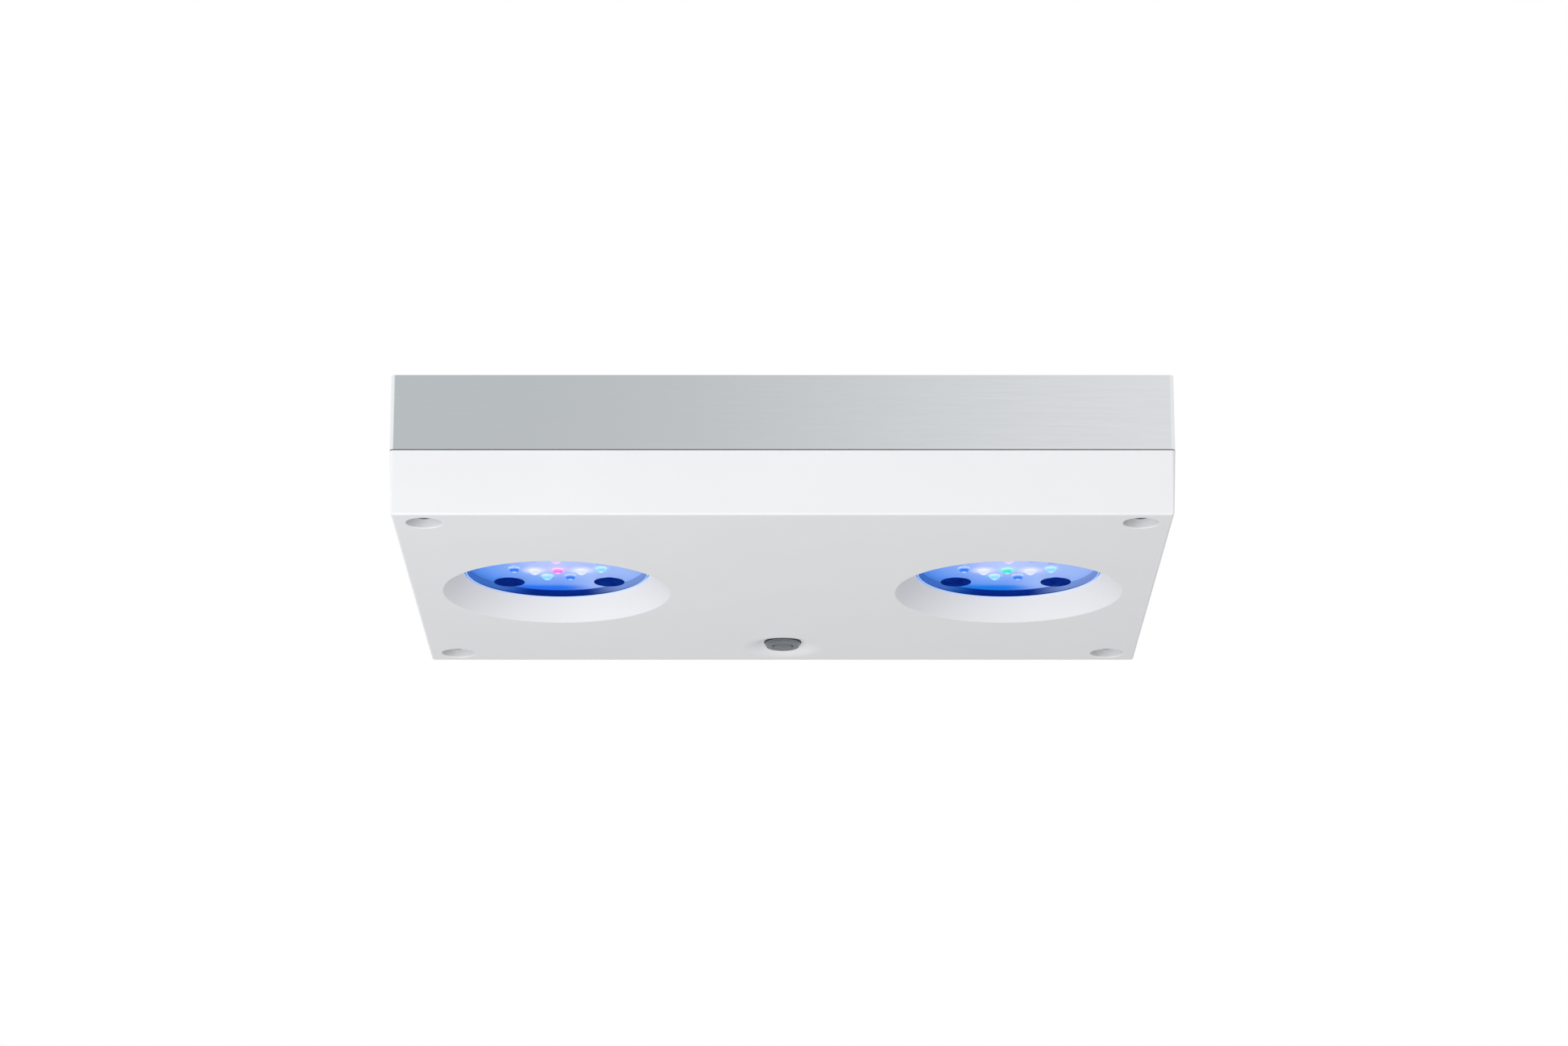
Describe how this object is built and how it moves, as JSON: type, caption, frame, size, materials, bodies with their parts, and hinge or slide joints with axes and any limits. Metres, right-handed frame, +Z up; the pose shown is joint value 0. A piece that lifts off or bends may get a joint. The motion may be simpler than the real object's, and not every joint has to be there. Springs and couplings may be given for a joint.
{
  "type": "led aquarium light",
  "caption": "Flat rectangular aquarium light: brushed aluminium casing over a white cover with two recessed round LED clusters, a fan-cooled heatsink and a push button underneath.",
  "frame": {"origin": "centre of the flat underside, which faces the water", "axes": "+Z up, away from the water; +X along the light's length, to the right seen from the front; the front faces -Y and the button is near the back edge at +Y"},
  "size_m": [0.28, 0.2041, 0.052],
  "materials": {
    "cover_white": "moulded white, satin, with fine grain",
    "casing_aluminium": "brushed along X, clear anodised",
    "lens_glass": "polished, clear",
    "seal_rubber": "matt",
    "black_plastic": "moulded, fine grain",
    "led_board": "white solder mask under blue light",
    "thermal_pad": "soft, matt",
    "heatsink_aluminium": "extruded and machined",
    "plain_steel": "turned, plain",
    "black_steel": "black oxide",
    "insert_brass": "turned",
    "button_metal": "turned, satin",
    "circuit_board": "green solder mask with black components",
    "support_nylon": "moulded nylon",
    "lead_sheath": "extruded"
  },
  "bodies": {
    "housing": {"lower_cover": "cover_white", "upper_casing": "casing_aluminium", "lens_left": "lens_glass", "lens_right": "lens_glass", "casing_gasket": "seal_rubber", "button_seal": "seal_rubber", "lens_seal_left": "seal_rubber", "lens_seal_right": "seal_rubber", "fan_frame": "black_plastic", "power_socket": "black_plastic", "lens_retainer_left": "black_plastic", "lens_retainer_right": "black_plastic", "led_board_left": "led_board", "led_board_right": "led_board", "thermal_pad_left": "thermal_pad", "thermal_pad_right": "thermal_pad", "heatsink": "heatsink_aluminium", "corner_post_front_left": "heatsink_aluminium", "corner_post_front_right": "heatsink_aluminium", "corner_post_back_right": "heatsink_aluminium", "corner_post_back_left": "heatsink_aluminium", "button_spring": "plain_steel", "button_nut": "plain_steel", "socket_nut": "plain_steel", "cover_screw_front_left": "plain_steel", "cover_screw_front_right": "plain_steel", "cover_screw_back_right": "plain_steel", "cover_screw_back_left": "plain_steel", "fan_screw_front_left": "plain_steel", "fan_screw_front_right": "plain_steel", "fan_screw_back_right": "plain_steel", "fan_screw_back_left": "plain_steel", "board_screw_left_front_left": "black_steel", "board_screw_left_front_right": "black_steel", "board_screw_left_back_right": "black_steel", "board_screw_left_back_left": "black_steel", "board_screw_right_front_left": "black_steel", "board_screw_right_front_right": "black_steel", "board_screw_right_back_right": "black_steel", "board_screw_right_back_left": "black_steel", "hanger_insert_front_left": "insert_brass", "hanger_insert_front_right": "insert_brass", "hanger_insert_back_right": "insert_brass", "hanger_insert_back_left": "insert_brass", "button_bezel": "button_metal", "driver_board": "circuit_board", "board_support_front_left": "support_nylon", "board_support_front_right": "support_nylon", "board_support_back_right": "support_nylon", "board_support_back_left": "support_nylon", "led_lead_left": "lead_sheath", "led_lead_right": "lead_sheath", "fan_lead": "lead_sheath", "button_lead": "lead_sheath", "power_lead": "lead_sheath"},
    "button": {"button_cap": "button_metal"},
    "fan": {"fan_rotor": "black_plastic"}
  },
  "joints": [
    {"name": "button_press", "type": "slide", "parent": "housing", "child": "button", "axis": [0, 0, 1], "range_m": [0, 0.0012], "stiffness_N_per_m": 1500, "springref_m": -0.0005, "deforming": ["button_spring"]},
    {"name": "fan_spin", "type": "hinge", "parent": "housing", "child": "fan", "pos_m": [0, 0, 0.0426], "axis": [0, 0, 1], "continuous": true}
  ]
}
